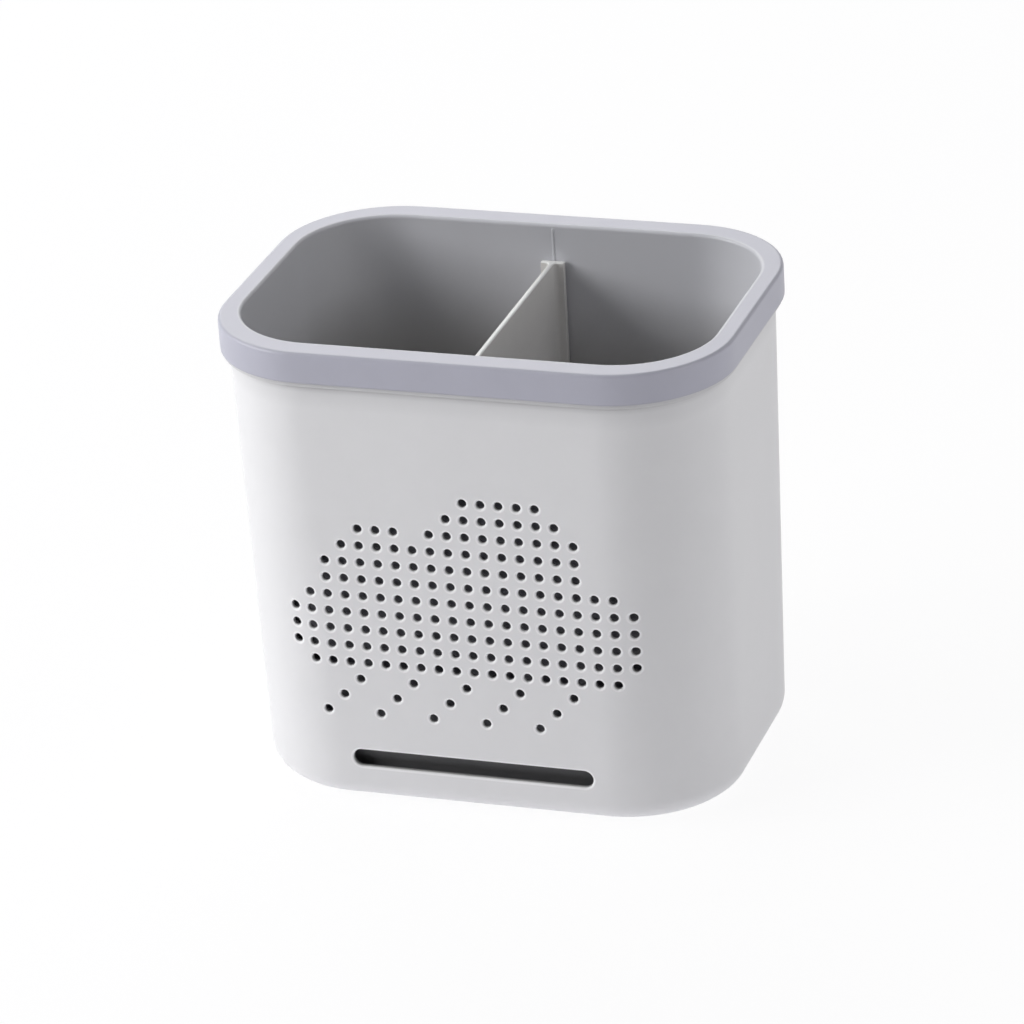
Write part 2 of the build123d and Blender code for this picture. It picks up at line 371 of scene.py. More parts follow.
class Skin:
    """The points and faces of one piece, gathered as whole arrays."""

    def __init__(self):
        self.points = []
        self.tones = []
        self.faces = []
        self.count = 0

    def add(self, points, tone=0.0):
        """Add points and return their numbers, in the same arrangement. Their tone, which places
        painted light and shade, is 0 on plain faces; moulded() says what the others mean."""
        points = np.asarray(points, float)
        self.points.append(points.reshape(-1, 3))
        self.tones.append((np.asarray(tone, float) + np.zeros(points.shape[:-1])).ravel())
        number = self.count + np.arange(points[..., 0].size).reshape(points.shape[:-1])
        self.count += number.size
        return number

    def strip(self, first, second):
        """Join closed loops, or batches of them, by quads that run on from first to second."""
        corners = (first, np.roll(first, -1, -1), np.roll(second, -1, -1), second)
        self.faces.append(np.stack(corners, -1).reshape(-1, 4))

    def stack(self, rows):
        """Join each loop to the next one."""
        for first, second in zip(rows[:-1], rows[1:]):
            self.strip(first, second)

    def solid(self, rows):
        """Join each loop to the next one, and close the first and the last."""
        self.close(rows[0], flip=True)
        self.stack(rows)
        self.close(rows[-1])

    def sheet(self, grid, keep, flip=False, closed=True):
        """Fill the kept cells of a grid, which is closed along its rows or open, by quads that face
        out, or in if flipped."""
        beside = np.roll(grid, -1, 1)
        cells = np.stack([grid[:-1], beside[:-1], beside[1:], grid[1:]], -1)
        if not closed:
            cells = cells[:, :-1]
        self.faces.append(cells[keep][:, ::-1] if flip else cells[keep])

    def close(self, loop, flip=False):
        """Close a loop, or a batch of them, by triangles to its middle point."""
        points = np.concatenate(self.points)
        middle = self.add(points[loop].mean(-2))[..., None] + 0 * loop
        corners = np.stack([loop, np.roll(loop, -1, -1), middle], -1).reshape(-1, 3)
        self.faces.append(corners[:, ::-1] if flip else corners)

    def cap(self, loop):
        """Close a flat loop, which may have hollows, by one face."""
        self.faces.append(loop[None])

    def build(self, name, body, slot, material, *nodes):
        """Make the object, with unused points dropped, and give it its place in the frame."""
        points = np.concatenate(self.points)
        used = np.unique(np.concatenate([faces.ravel() for faces in self.faces]))
        renumber = np.zeros(len(points), int)
        renumber[used] = np.arange(len(used))
        faces = [face for block in self.faces for face in renumber[block].tolist()]
        mesh = bpy.data.meshes.new(name)
        mesh.from_pydata(points[used].tolist(), [], faces)
        tones = mesh.attributes.new("tone", "FLOAT", "POINT")
        tones.data.foreach_set("value", np.concatenate(self.tones)[used])
        shape = bmesh.new()
        shape.from_mesh(mesh)
        bmesh.ops.remove_doubles(shape, verts=shape.verts, dist=WELD)
        shape.to_mesh(mesh)
        shape.free()
        mesh.validate()
        mesh.shade_smooth()
        mesh.set_sharp_from_angle(angle=CREASE_ANGLE)
        mesh.materials.append(material)
        piece = bpy.data.objects.new(name, mesh)
        bpy.context.scene.collection.objects.link(piece)
        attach(piece, body)
        if nodes:
            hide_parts(*nodes)
        return piece


def cell_loops(grid, rows, columns, half_rows, half_columns, closed=True):
    """Numbers of the points round patches of a grid, anticlockwise from the middle of the side of
    the higher columns, and the cells that the patches leave. rows and columns are the middles."""
    up, across = np.arange(-half_rows, half_rows), np.arange(-half_columns, half_columns)
    row_steps = np.concatenate([up, 0 * across + half_rows, -up, 0 * across - half_rows])
    column_steps = np.concatenate([0 * up + half_columns, -across, 0 * up - half_columns, across])
    row_steps, column_steps = (np.roll(step, -half_rows) for step in (row_steps, column_steps))
    width = grid.shape[1]
    loops = grid[rows[:, None] + row_steps, (columns[:, None] + column_steps) % width]
    keep = np.ones((grid.shape[0] - 1, width if closed else width - 1), bool)
    row, column, up, across = np.broadcast_arrays(
        rows[:, None, None], columns[:, None, None], up[:, None], across
    )
    keep[row + up, (column + across) % width] = False
    return loops, keep


def edge_loop(grid):
    """Numbers of the points round an open grid, anticlockwise from the front's middle."""
    around = np.concatenate([grid[:-1, 0], grid[-1, :-1], grid[:0:-1, -1], grid[0, :0:-1]])
    return np.roll(around, -(grid.shape[0] // 2))


def pulled_in(points, sizes):
    """Points that lie outside a round corner, moved onto it straight towards its centre."""
    half_width, half_depth, radius = sizes
    centre = np.array([half_width - radius, half_depth - radius])
    past = np.clip(np.abs(points[..., :2]) - centre, 0.0, None)
    reach = np.hypot(past[..., 0], past[..., 1])
    share = np.where(reach > radius, radius / np.maximum(reach, radius), 1.0)[..., None]
    place = np.minimum(np.abs(points[..., :2]), centre) + past * share
    moved = np.array(points)
    moved[..., :2] = np.where(share < 1.0, np.sign(points[..., :2]) * place, points[..., :2])
    return moved


def cells_about(middle, cell, count):
    """Places of the ends of that many cells, an even number, in a row about a middle."""
    return middle + cell * np.arange(-count // 2, count // 2 + 1)


def two_blocks(centre, cell, count, steps):
    """Places along a line of so many steps: a block of cells about minus the centre, another about
    plus the centre, and equal steps between them."""
    left, right = cells_about(-centre, cell, count), cells_about(centre, cell, count)
    between = np.linspace(left[-1], right[0], steps - 2 * count + 1)
    return np.concatenate([left, between[1:-1], right])


def circle(radius, count):
    """Points of a circle, anticlockwise from its right."""
    angle = 2 * math.pi * np.arange(count) / count
    return radius * np.stack([np.cos(angle), np.sin(angle)], -1)


def level_circles(middles, radius, count, level):
    """Circles at a level about some middles, clockwise from the back as a plate's loops run."""
    around = middles[:, None] + circle(radius, count)[:, ::-1]
    return np.concatenate([around, level + 0 * around[..., :1]], -1)


def stadium(centre, radius, straight, cap):
    """Points of a slot's edge, anticlockwise from its right: a half circle of so many steps at
    each end, of that radius, about centres that far from the middle, and straight runs between."""
    angle = math.pi * np.arange(cap) / cap - math.pi / 2
    right = np.stack([centre + radius * np.cos(angle), radius * np.sin(angle)], -1)
    top = np.stack([centre * (1 - 2 * np.arange(straight) / straight), radius + np.zeros(straight)], -1)
    return np.roll(np.concatenate([right, top, -right, -top]), -(cap // 2), axis=0)


# ------------------------------------------------------------------------------------- finishes


class Wire:
    """One value in a material. Sums, products and the like of wires and numbers add Math nodes."""

    def __init__(self, tree, socket):
        self.tree = tree
        self.socket = socket

    def math(self, operation, *values):
        """A Math node on these values."""
        inputs = dict(enumerate(values))
        return add_node(self.tree, "ShaderNodeMath", {"operation": operation}, inputs)["Value"]

    def __add__(self, other):
        return self.math("ADD", self, other)

    def __sub__(self, other):
        return self.math("SUBTRACT", self, other)

    def __neg__(self):
        return self.math("MULTIPLY", self, -1.0)

    def __rsub__(self, other):
        return self.math("SUBTRACT", other, self)

    def __mul__(self, other):
        return self.math("MULTIPLY", self, other)

    __radd__ = __add__
    __rmul__ = __mul__

    def at_least(self, floor):
        """The value, or the floor where the value is lower."""
        return self.math("MAXIMUM", self, floor)

    def ramp(self, low, high):
        """0 where the value is at or under low, 1 where it is at or over high, smooth between."""
        settings = {"interpolation_type": "SMOOTHSTEP"}
        inputs = {"Value": self, "From Min": low, "From Max": high}
        return add_node(self.tree, "ShaderNodeMapRange", settings, inputs)["Result"]


def add_node(tree, kind, settings=None, inputs=None):
    """Add a node, set its settings and then its sockets, and return its outputs by name."""
    node = tree.nodes.new(kind)
    for name, value in (settings or {}).items():
        setattr(node, name, value)
    for name, value in (inputs or {}).items():
        if isinstance(value, Wire):
            tree.links.new(value.socket, node.inputs[name])
        else:
            node.inputs[name].default_value = value
    return {output.name: Wire(tree, output) for output in node.outputs if output.enabled}


def new_tree(name):
    """A material with an empty node tree."""
    material = bpy.data.materials.new(name)
    material.use_nodes = True
    material.node_tree.nodes.clear()
    return material, material.node_tree


def noise(tree, place, width, detail, roughness=0.5):
    """A noise, from about 0.3 to 0.7, whose grains are about that wide."""
    inputs = {"Vector": place, "Scale": 1 / width, "Detail": detail, "Roughness": roughness}
    return add_node(tree, "ShaderNodeTexNoise", None, inputs)["Fac"]


def rgba(colour, factor=1.0):
    """A colour with full alpha, scaled."""
    return (*(min(1.0, channel * factor) for channel in colour), 1.0)


# Places of a Mix node's sockets for colours, whose names it also has for values
MIX_SHARE, MIX_FIRST, MIX_SECOND = 0, 6, 7


def mix_colours(tree, share, first, second):
    """The first colour where the share is 0 and the second where it is 1."""
    inputs = {MIX_SHARE: share, MIX_FIRST: first, MIX_SECOND: second}
    return add_node(tree, "ShaderNodeMix", {"data_type": "RGBA"}, inputs)["Result"]


def moulded(name, colour, roughness, grain, grain_height, mottle, deep=None, tones=(), ior=1.49):
    """Moulded plastic: a fine etched grain as bump, slow shallow waves left by the mould, patches
    that are slightly more or less matt, and a slight cloudiness in the colour. Where the piece's
    tone is -1 it has the deep colour, a painted shade, and at 1, 2 and so on it has the tones'
    colours in turn: painted highlights, and painted light and shade."""
    material, tree = new_tree(name)
    place = add_node(tree, "ShaderNodeTexCoord")["Object"]
    etched = noise(tree, place, grain, detail=3.0, roughness=0.6)
    waves = noise(tree, place, WAVE_WIDTH, detail=2.0)
    patches = noise(tree, place, PATCH_WIDTH, detail=3.0)
    tone = add_node(tree, "ShaderNodeAttribute", {"attribute_name": "tone"})["Fac"]
    cloudy = patches.ramp(NOISE_LOW, NOISE_HIGH)
    shade = mix_colours(tree, cloudy, rgba(colour, 1 - mottle), rgba(colour, 1 + mottle))
    if deep:
        shade = mix_colours(tree, (-tone).at_least(0.0), shade, rgba(deep))
    for step, next_colour in enumerate(tones):
        shade = mix_colours(tree, (tone - step).at_least(0.0), shade, rgba(next_colour))
    height = etched * grain_height + waves * WAVE_HEIGHT
    bump = {"Height": height, "Strength": 1.0, "Distance": 1.0}
    normal = add_node(tree, "ShaderNodeBump", None, bump)["Normal"]
    surface = add_node(tree, "ShaderNodeBsdfPrincipled", None, {
        "Base Color": shade,
        "Roughness": patches * ROUGHNESS_SPREAD + (roughness - ROUGHNESS_SPREAD / 2),
        "Normal": normal,
        "IOR": ior,
    })["BSDF"]
    add_node(tree, "ShaderNodeOutputMaterial", None, {"Surface": surface})
    return material


# ------------------------------------------------------------------------------------- pieces


def shell_wall(shell):
    """The shell's leaning wall, from the base to the lip's top."""
    half_width, half_depth = lip_high.x - shell.lip_reach, lip_high.y - shell.lip_reach
    return leaning(
        (lip_low.z, half_width - shell.draft, half_depth - shell.draft, shell.base_corner_radius),
        (lip_high.z, half_width, half_depth, shell.top_corner_radius),
    )


def liner_wall(liner):
    """The liner's inner wall, from the floor's upper face to the rim's top."""
    half_width, half_depth = rim_high.x - liner.rim_side_width, rim_high.y - liner.rim_front_width
    return leaning(
        (
            rim_low.z + liner.floor,
            half_width - liner.draft,
            half_depth - liner.draft,
            liner.floor_corner_radius,
        ),
        (rim_high.z, half_width, half_depth, liner.opening_corner_radius),
    )


def hole_places():
    """Columns, in grid steps right of the middle, and rows from the top of the cloud's and the
    rain's holes."""
    cloud = [
        (column, row)
        for row, runs in enumerate(CLOUD_ROWS)
        for first, last in runs
        for column in range(first, last + 1)
    ]
    rain = [
        (RAIN_FIRST_COLUMN + RAIN_STREAK_SPACING * streak - drop, len(CLOUD_ROWS) + drop)
        for streak in range(RAIN_STREAKS)
        for drop in range(RAIN_DROPS)
    ]
    places = np.array(cloud + rain)
    columns = np.rint((places[:, 0] - (CLOUD_COLUMNS - 1) / 2) * CELL).astype(int)
    return columns, places[:, 1].astype(int)


def pierce(skin, outer, inner, wall, thickness, middles, edges, edge_round):
    """Join open loops of the outer and the inner wall by holes cut straight back.

    edges gives a hole's outline at a distance outside its edge, as steps in x and z from its
    middle. The edge is a quarter of a circle from the outer face back to the hole's side.
    """
    turn, back = quarter_turn(steps=2)
    outsides = (FADE + edge_round, *edge_round * (1 - turn), 0.0)
    depths = (0.0, *edge_round * back, 0.0)
    insets = (0.0, 0.0, 0.0, 0.0, thickness)
    rows = [outer]
    # The rings' tones paint a highlight on the edge's round and shade deeper in the opening
    for outside, depth, inset, tone in zip(outsides, depths, insets, OPENING_TONES):
        x, z = np.moveaxis(middles[:, None, :] + edges(outside), -1, 0)
        y = face_depth(x, z, wall, inset) + depth
        rows.append(skin.add(np.stack([x, y, z], -1), tone))
    skin.stack([*rows, inner])


def add_underside(skin, pads, base):
    """Add the shell's flat underside, a grid with a square patch round each pad, and in each patch
    a round recess that goes up to the pad's top. Return the grid."""
    front, before, after, side = SHELL_STEPS
    pad_x, pad_y = (pad_low.x + pad_high.x) / 2, (pad_low.y + pad_high.y) / 2
    across = two_blocks(pad_x, PAD_CELL, 2 * CELL, 2 * (front + before))
    along = two_blocks(pad_y, PAD_CELL, 2 * CELL, 2 * (after + side))
    x, y = np.meshgrid(across, along, indexing="ij")
    plate = skin.add(np.stack([x, y, base + 0 * x], -1))
    rows = np.repeat([CELL, len(across) - 1 - CELL], 2)
    columns = np.tile([CELL, len(along) - 1 - CELL], 2)
    loops, keep = cell_loops(plate, rows, columns, CELL, CELL, closed=False)
    skin.sheet(plate, keep, closed=False)
    middles = np.stack([across[rows], along[columns]], -1)
    radius = (pad_high.x - pad_low.x) / 2 + pads.slip
    edge, ceiling = (
        skin.add(level_circles(middles, radius, 8 * CELL, level)) for level in (base, pad_high.z)
    )
    skin.stack([loops, edge, ceiling])
    skin.close(ceiling)
    return plate


class HOLDER_OT_shell(bpy.types.Operator):
    """Add the white shell, pierced by the cloud, the rain and the vent slot"""

    bl_idname = "holder.shell"
    bl_label = "Pierced shell"

    def execute(self, context):
        shell = context.scene.holder_shell
        pads = context.scene.holder_pads
        wall = shell_wall(shell)
        base, top = lip_low.z, lip_high.z
        step = shell.hole_pitch / CELL
        columns = step * np.arange(LATTICE_COLUMNS + 1)
        rows_of_holes = len(CLOUD_ROWS) + RAIN_DROPS
        slot_levels = cells_about(shell.slot_centre, step, 2 * CELL)
        first_level = shell.cloud_top - shell.hole_pitch * (rows_of_holes - 0.5)
        hole_levels = first_level + step * np.arange(CELL * rows_of_holes + 1)
        edge, lip = shell.edge_round, shell.lip_reach
        turn, back = quarter_turn(steps=3)
        skin = Skin()
        plate = add_underside(skin, pads, base)

        def ring(level, inset, tone=0.0):
            return skin.add(rings(level, outline(level, wall, inset), SHELL_STEPS, columns), tone)

        def lip_ring(level, inset):
            sizes = [np.asarray(size) - inset + lip for size in wall[1][1:]]
            return skin.add(rings(level, sizes, SHELL_STEPS, columns), LIP_SHADE_TONE)

        # Outer wall and lip
        levels, insets = foot_round(wall, base, shell.base_round, steps=8)
        # Painted shade on the wall just under the lip, and on the lip
        below_lip, lip_shade_tones = np.array(LIP_SHADE_TONES[::-1]).T
        upper = top - shell.lip_height - below_lip
        wall_levels = np.concatenate([[levels[-1] + 2 * BESIDE], slot_levels, hole_levels, upper])
        tones = np.zeros(len(wall_levels))
        tones[-len(upper):] = lip_shade_tones
        foot = ring(levels, insets)
        outer = ring(wall_levels, 0.0, tones[:, None])
        flat = ring([base], insets[0] + 2 * BESIDE)
        under = lip_ring(np.full(2, top - shell.lip_height), np.array([lip - BESIDE, edge]))
        low_edge = lip_ring(top - shell.lip_height + edge * back, edge * (1 - turn))
        high_edge = lip_ring(top - edge * (1 - turn), edge * back)
        upper_face = lip_ring(np.full(1, top), np.array([edge + BESIDE]))
        rim_edge = ring(top - edge * back, shell.wall - edge * (1 - turn))

        # Inner wall, whose grid runs upwards as the outer one does
        floor = base + shell.floor
        inner_levels, inner_insets = foot_round(wall, floor, shell.base_round - shell.wall, steps=8)
        inner_foot = ring(inner_levels, inner_insets + shell.wall)
        lower = [inner_levels[-1] + BESIDE]
        upper = [hole_levels[-1] + INNER_MARGIN, top - edge - 2 * BESIDE]
        inner = ring(np.concatenate([lower, slot_levels, hole_levels, upper]), shell.wall)

        # Rows of both grids at the middle of the slot and of the cloud's top row; one ring is below
        slot_row = 1 + CELL
        hole_row = 1 + len(slot_levels) + CELL * rows_of_holes - CELL // 2
        hole_columns, hole_rows = hole_places()
        masks, openings = [], []
        for grid in (outer, inner):
            holes, keep_holes = cell_loops(
                grid, hole_row - CELL * hole_rows, hole_columns, CELL // 2, CELL // 2
            )
            slots, keep_slot = cell_loops(grid, np.array([slot_row]), np.array([0]), CELL, SLOT_COLUMNS)
            masks.append(keep_holes & keep_slot)
            openings.append((holes, slots))
        skin.strip(edge_loop(plate), flat[0])
        skin.stack([flat[0], *foot, outer[0]])
        skin.sheet(outer, masks[0])
        skin.stack([outer[-1], *under, *low_edge[1:], *high_edge, *upper_face, *rim_edge, inner[-1]])
        skin.sheet(inner, masks[1], flip=True)
        skin.stack([inner[0], *inner_foot[::-1]])
        skin.close(inner_foot[0])

        # Cloud, rain and slot
        middles = np.stack([step * hole_columns, shell.cloud_top - shell.hole_pitch * hole_rows], -1)
        radius = shell.hole_diameter / 2
        pierce(
            skin, openings[0][0], openings[1][0], wall, shell.wall, middles,
            lambda outside: circle(radius + outside, 4 * CELL), shell.hole_round,
        )
        radius = shell.slot_height / 2
        centre = shell.slot_length / 2 - radius
        cap = 2 * (CELL + SLOT_COLUMNS - SLOT_STRAIGHT)
        pierce(
            skin, openings[0][1], openings[1][1], wall, shell.wall, np.array([[0.0, shell.slot_centre]]),
            lambda outside: stadium(centre, radius + outside, 2 * SLOT_STRAIGHT, cap), shell.slot_round,
        )
        # deep gives the painted shade in the holes, the slot and under the lip; the tone gives the painted
        # highlight round them
        finish = moulded(
            "White satin plastic", shell.colour, roughness=0.42, grain=0.35 * MM,
            grain_height=0.004 * MM, mottle=0.006, deep=shell.painted_shade_colour, tones=(shell.highlight_colour,),
        )
        skin.build("pierced_shell", "shell", "shell_white", finish, "outer_shell")
        return {"FINISHED"}


def painted_inside_tone(level):
    """Tone of the cup's inside: from the painted light at its mouth down to the painted shade in its
    depths, by 3 t squared less 2 t cubed.
    """
    share = np.clip((rim_high.z - SHADE_START - level) / SHADE_RANGE, 0.0, 1.0)
    return LIT_MOUTH_TONE + (SHADED_DEPTH_TONE - LIT_MOUTH_TONE) * share**2 * (3 - 2 * share)


def add_rails(skin, liner, wall):
    """Add the two rails that the divider slides down, with round edges and round tops. They lean
    with the wall, start inside it and end at the floor's round. Each is a stack of small rounded
    rectangles, shrunk near the top by a quarter circle."""
    bottom, top = rim_low.z + liner.floor + liner.floor_round, rim_high.z - liner.rail_drop
    edge = liner.edge_round
    turn, back = quarter_turn(steps=3)
    straight = np.linspace(bottom, top - 4 * edge, DEPTH_RINGS)
    levels = np.concatenate([straight, top - edge + edge * turn])
    inset = np.concatenate([0 * straight, edge * back])
    sunk = liner.wall / 2
    sizes = (liner.rail_width / 2 - inset, (liner.rail_depth + sunk) / 2 - inset)
    shape = rings(levels, (*sizes, edge + HAIR - inset), RAIL_STEPS)
    middle = outline(levels, wall)[1][:, None] - (liner.rail_depth - sunk) / 2
    for end in (-1, 1):
        points = np.array(shape)
        points[..., 1] += end * middle
        # The rails get the same painted light and shade as the cup's inside
        skin.solid(skin.add(points, painted_inside_tone(levels)[:, None]))


def add_floor(skin, liner, wall, low, high):
    """Add the cup's floor: two plates with the same square grid, pulled in at their corners, and
    between them the drain holes, whose upper edges are quarter circles. low and high are the
    plates' levels and their insets from the wall. Return the plates' grids."""
    cell = liner.drain_pitch / CELL
    front, before = LINER_STEPS[:2]
    grid_centre = wall[1][1] / 2 - liner.draft / 2
    across = two_blocks(grid_centre, cell, DRAIN_COLUMNS * CELL, 2 * (front + before))
    along = cells_about(0.0, cell, DRAIN_ROWS * CELL)
    x, y = np.meshgrid(across, along, indexing="ij")
    rows = CELL // 2 + CELL * np.arange(DRAIN_COLUMNS)
    rows = np.concatenate([rows, len(across) - 1 - rows])
    columns = CELL // 2 + CELL * np.arange(DRAIN_ROWS)
    rows, columns = (part.ravel() for part in np.meshgrid(rows, columns, indexing="ij"))
    plates = []
    # The underside gets the painted shade of the cup's outside, the top the painted shade of the cup's
    # depths
    for (level, inset), tone in ((low, PAINTED_SHADE_TONE), (high, SHADED_DEPTH_TONE)):
        sizes = outline(level, wall, inset + 2 * BESIDE)
        plates.append(skin.add(pulled_in(np.stack([x, y, level + 0 * x], -1), sizes), tone))
    openings = []
    for plate, flip in zip(plates, (False, True)):
        loops, keep = cell_loops(plate, rows, columns, CELL // 2, CELL // 2, closed=False)
        skin.sheet(plate, keep, flip, closed=False)
        openings.append(loops)
    under, floor = low[0], high[0]
    radius, edge = liner.drain_diameter / 2, liner.drain_round
    turn, back = quarter_turn(steps=2)
    radii = (radius, *radius + edge * back, radius + edge + BESIDE)
    levels = (under, *floor - edge + edge * turn, floor)
    tones = (PAINTED_SHADE_TONE, *[SHADED_DEPTH_TONE] * (len(levels) - 1))
    middles = np.stack([across[rows], along[columns]], -1)
    holes = [
        skin.add(level_circles(middles, radius, 4 * CELL, level), tone)
        for radius, level, tone in zip(radii, levels, tones)
    ]
    skin.stack([openings[0], *holes, openings[1]])
    return plates


class HOLDER_OT_liner(bpy.types.Operator):
    """Add the grey liner: its rim, its cup, the rails for the divider and the drain holes"""

    bl_idname = "holder.liner"
    bl_label = "Liner"

    def execute(self, context):
        liner = context.scene.holder_liner
        wall = liner_wall(liner)
        under, floor, top = rim_low.z, rim_low.z + liner.floor, rim_high.z
        band_low = top - liner.rim_height
        skin = Skin()

        def ring(level, inset, tone=0.0):
            return skin.add(rings(level, outline(level, wall, inset), LINER_STEPS), tone)

        def band_ring(level, inset, tone=0.0):
            sizes = [rim_high.x - inset, rim_high.y - inset, liner.rim_corner_radius - inset]
            return skin.add(rings(np.asarray(level) + 0 * inset, sizes, LINER_STEPS), tone)

        low_levels, low_insets = foot_round(wall, under, liner.floor_round + liner.wall, steps=8)
        high_levels, high_insets = foot_round(wall, floor, liner.floor_round, steps=8)
        low_insets = low_insets - liner.wall
        plates = add_floor(skin, liner, wall, (under, low_insets[0]), (floor, high_insets[0]))

        # Cup's outside, the rim's channel and band, and the cup's inside
        edge = liner.edge_round
        turn, back = quarter_turn(steps=2)
        outer_turn, outer_back = quarter_turn(steps=6)
        ceiling = top - liner.rim_top_thickness
        outer_round, inner_round = liner.rim_outer_round, liner.rim_inner_round
        # The cup's outside is painted in shade
        outside = ring(
            np.concatenate([
                low_levels, [low_levels[-1] + 2 * BESIDE, ceiling - 2 * BESIDE, ceiling]
            ]),
            np.concatenate([low_insets, np.full(3, -liner.wall)]),
            PAINTED_SHADE_TONE,
        )
        channel = band_ring(np.array([ceiling, band_low + edge]), np.full(2, liner.skirt))
        skirt_in = band_ring(band_low + edge * (1 - turn), liner.skirt - edge * back)
        # A painted shade line along the band's lower edge
        skirt_out = band_ring(band_low + edge * back, edge * (1 - turn), BAND_LINE_SHADE_TONE)
        band_levels = np.array([band_low + edge + BESIDE, top - outer_round - BESIDE])
        band = band_ring(band_levels, np.zeros(2))
        shoulder = band_ring(top - outer_round * (1 - outer_turn), outer_round * outer_back)
        flat = [
            band_ring(np.full(1, top), np.full(1, outer_round + BESIDE)),
            ring(np.full(1, top), -inner_round - BESIDE),
        ]
        # A painted highlight on the opening's edge, then the painted light of the cup's inside
        mouth_turn, mouth_back = quarter_turn(steps=5)
        mouth_tone = np.interp(range(len(mouth_turn)), *np.array(MOUTH_TONES).T)
        mouth = ring(
            top - inner_round * mouth_back, -inner_round * (1 - mouth_turn), mouth_tone[:, None]
        )
        depths = np.linspace(
            top - inner_round - BESIDE, high_levels[-1] + 2 * BESIDE, DEPTH_RINGS
        )
        inside_levels = np.concatenate([depths, high_levels[::-1]])
        inside = ring(
            inside_levels, np.concatenate([0 * depths, high_insets[::-1]]),
            painted_inside_tone(inside_levels)[:, None],
        )
        skin.stack([
            edge_loop(plates[0]), *outside, *channel[:1], *skirt_in, *skirt_out, *band, *shoulder,
            flat[0][0], flat[1][0], *mouth, *inside, edge_loop(plates[1]),
        ])
        add_rails(skin, liner, wall)
        # deep is the painted shade of the outside; the tones are the painted highlight on the rim's edge
        # and the inside's painted light and shade
        finish = moulded(
            "Grey matt plastic", liner.colour, roughness=0.43, grain=0.4 * MM,
            grain_height=0.006 * MM, mottle=0.012, deep=liner.outside_shade_colour,
            tones=(liner.highlight_colour, liner.lit_mouth_colour, liner.shaded_depth_colour), ior=1.65,
        )
        skin.build("liner_cup", "liner", "liner_grey", finish, "inner_liner")
        return {"FINISHED"}


def round_inset(level, top, radius):
    """How far a quarter circle of that radius under the top stands back at some levels: the radius
    less the root of its square minus the square of the height above the circle's centre."""
    above = np.clip(level - (top - radius), 0.0, radius)
    return radius - np.sqrt(radius**2 - above**2)


def cut_corners(corners, radii, steps):
    """Closed loops whose right-angled corners are quarter circles, one loop a level.

    corners is (levels, corners, 2) and radii (levels, corners). A circle's centre is one radius
    back along the side that comes in and one radius on along the side that goes out, and its
    points are the centre minus cosine times the way out plus sine times the way in.
    """
    way_in = corners - np.roll(corners, 1, 1)
    way_in = np.sign(np.where(np.abs(way_in) > WELD, way_in, 0.0))
    way_out = np.roll(way_in, -1, 1)
    radius = radii[..., None]
    centre = corners + radius * (way_out - way_in)
    angle = np.linspace(0.0, math.pi / 2, steps + 1)[:, None]
    arc = np.sin(angle) * (radius * way_in)[:, :, None] - np.cos(angle) * (radius * way_out)[:, :, None]
    return (centre[:, :, None] + arc).reshape(len(corners), -1, 2)


class HOLDER_OT_divider(bpy.types.Operator):
    """Add the divider: a plate with a flange at each end, grooved for the liner's rails"""

    bl_idname = "holder.divider"
    bl_label = "Divider"

    def execute(self, context):
        divider = context.scene.holder_divider
        liner = context.scene.holder_liner
        wall = liner_wall(liner)
        low, high = divider_low.z, divider_high.z
        plate, flange = divider.thickness / 2, divider_high.x
        groove = liner.rail_width / 2 + divider.slip
        corner, edge = divider.corner_round, divider.edge_round

        def section(level, foot_inset, flanged):
            """Rings of the plate, with its flanges or with no more than its own ends.

            A ring is a loop of right-angled corners with quarter circles in them: the groove's
            floor and mouth, the flange's outer and inner corner and the hollow at the plate, and
            their mirror images. Near the top all faces stand back by the edge's quarter circle.
            """
            zero = 0 * level
            back = round_inset(level, high, edge)
            straight = outline(level, wall)[1] - divider.end_gap
            end = straight - foot_inset - round_inset(level, high, divider.top_round)
            deep = np.minimum(end - HAIR, straight - divider.groove_depth - back)
            turn = corner - back / 2
            if flanged:
                wide, slot = flange - back, groove + back
                inner = straight - divider.flange_thickness + back
                bend = [zero, zero, turn, turn, divider.flange_fillet + back]
            else:
                wide, slot = zero + plate + HAIR, zero + plate / 3
                inner = end - 2 * corner
                bend = [zero, zero, turn, zero, zero]
            x = np.stack([slot, slot, wide, wide, plate - back], -1)
            y = -np.stack([deep, end, end, inner, inner], -1)
            bend = np.stack(bend, -1)
            x = np.hstack([x, x[:, ::-1], -x, -x[:, ::-1]])
            y = np.hstack([y, -y[:, ::-1], -y, y[:, ::-1]])
            bend = np.hstack([bend, bend[:, ::-1], bend, bend[:, ::-1]])
            loop = cut_corners(np.stack([x, y], -1), bend, steps=3)
            return np.concatenate([loop, level[:, None, None] + 0 * loop[..., :1]], -1)

        feet, foot_insets = foot_round(wall, low, liner.floor_round, steps=10)
        start = np.searchsorted(-foot_insets, -divider.flange_thickness / 2)
        turn = quarter_turn(steps=6)[0]
        top = np.concatenate([[high - 2 * divider.top_round], high - divider.top_round * (1 - turn)])
        skin = Skin()
        stem = skin.add(section(feet[:start + 1], foot_insets[:start + 1], False))
        levels = np.concatenate([feet[start:], top])
        insets = np.concatenate([foot_insets[start:], 0 * top])
        # A painted highlight on the top edges
        tone = np.where(levels > high - edge, PAINTED_HIGHLIGHT_TONE, 0.0)
        body = skin.add(section(levels, insets, True), tone[:, None])
        skin.cap(stem[0][::-1])
        skin.stack([*stem, *body])
        skin.cap(body[-1])
        finish = moulded(
            "Pale grey plastic", divider.colour, roughness=0.45, grain=0.4 * MM,
            grain_height=0.005 * MM, mottle=0.01, tones=(divider.highlight_colour,),
        )
        skin.build("slide_divider", "divider", "divider_grey", finish, "divider")
        return {"FINISHED"}


